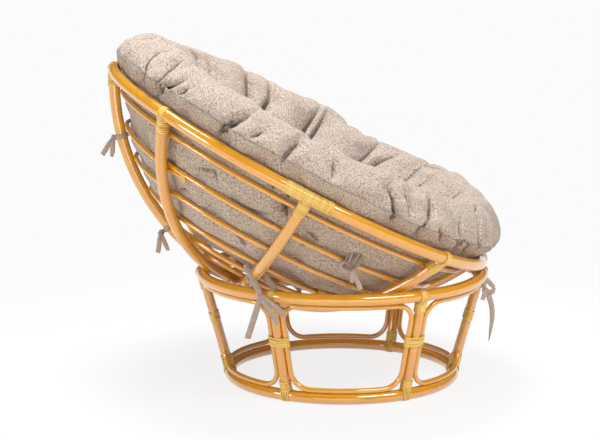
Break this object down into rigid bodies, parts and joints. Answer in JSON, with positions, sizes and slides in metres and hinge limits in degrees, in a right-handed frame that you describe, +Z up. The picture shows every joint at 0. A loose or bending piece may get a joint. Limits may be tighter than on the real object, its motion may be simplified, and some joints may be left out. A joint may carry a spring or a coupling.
{
  "type": "papasan chair",
  "caption": "Round bowl chair of bent rattan poles with a tufted round cushion, laid at a tilt in a round ring base of legs and bent loops.",
  "frame": {"origin": "centre of the chair's bounding box, on the floor", "axes": "+X towards the low front of the bowl, +Y to the sitter's left, +Z up"},
  "size_m": [1.0212, 1.1038, 0.886],
  "materials": {
    "rattan": "gloss",
    "cane_binding": "satin",
    "cushion_cloth": "matte",
    "tie_cloth": "matte"
  },
  "bodies": {
    "base": {"base_top_ring": "rattan", "base_bottom_ring": "rattan", "leg_1": "rattan", "leg_2": "rattan", "leg_3": "rattan", "leg_4": "rattan", "leg_5": "rattan", "leg_6": "rattan", "panel_loop_1": "rattan", "panel_loop_2": "rattan", "panel_loop_3": "rattan", "panel_loop_4": "rattan", "panel_loop_5": "rattan", "panel_loop_6": "rattan", "binding_leg_top_1": "cane_binding", "binding_leg_top_2": "cane_binding", "binding_leg_top_3": "cane_binding", "binding_leg_top_4": "cane_binding", "binding_leg_top_5": "cane_binding", "binding_leg_top_6": "cane_binding", "binding_leg_middle_1": "cane_binding", "binding_leg_middle_2": "cane_binding", "binding_leg_middle_3": "cane_binding", "binding_leg_middle_4": "cane_binding", "binding_leg_middle_5": "cane_binding", "binding_leg_middle_6": "cane_binding", "binding_leg_foot_1": "cane_binding", "binding_leg_foot_2": "cane_binding", "binding_leg_foot_3": "cane_binding", "binding_leg_foot_4": "cane_binding", "binding_leg_foot_5": "cane_binding", "binding_leg_foot_6": "cane_binding"},
    "bowl": {"rim": "rattan", "rib_front_back": "rattan", "rib_side_side": "rattan", "rib_diagonal_1": "rattan", "rib_diagonal_2": "rattan", "rib_diagonal_3": "rattan", "rib_diagonal_4": "rattan", "hoop_1": "rattan", "hoop_2": "rattan", "hoop_3": "rattan", "hoop_4": "rattan", "hoop_5": "rattan", "hoop_6": "rattan", "binding_rim_1": "cane_binding", "binding_rim_2": "cane_binding", "binding_rim_3": "cane_binding", "binding_rim_4": "cane_binding", "binding_rim_5": "cane_binding", "binding_rim_6": "cane_binding", "binding_rim_7": "cane_binding", "binding_rim_8": "cane_binding", "binding_bowl_bottom": "cane_binding", "cushion": "cushion_cloth", "tie_back_high": "tie_cloth", "tie_back_low": "tie_cloth", "tie_side_hoop": "tie_cloth", "tie_side_rib": "tie_cloth", "tie_front": "tie_cloth"}
  },
  "joints": [
    {"name": "bowl_tilt", "type": "hinge", "parent": "base", "child": "bowl", "pos_m": [0.10294, 0, 0.76323], "axis": [0, 1, 0], "range_deg": [-27.85, 0], "deforming": ["tie_back_low", "tie_side_rib"]}
  ]
}
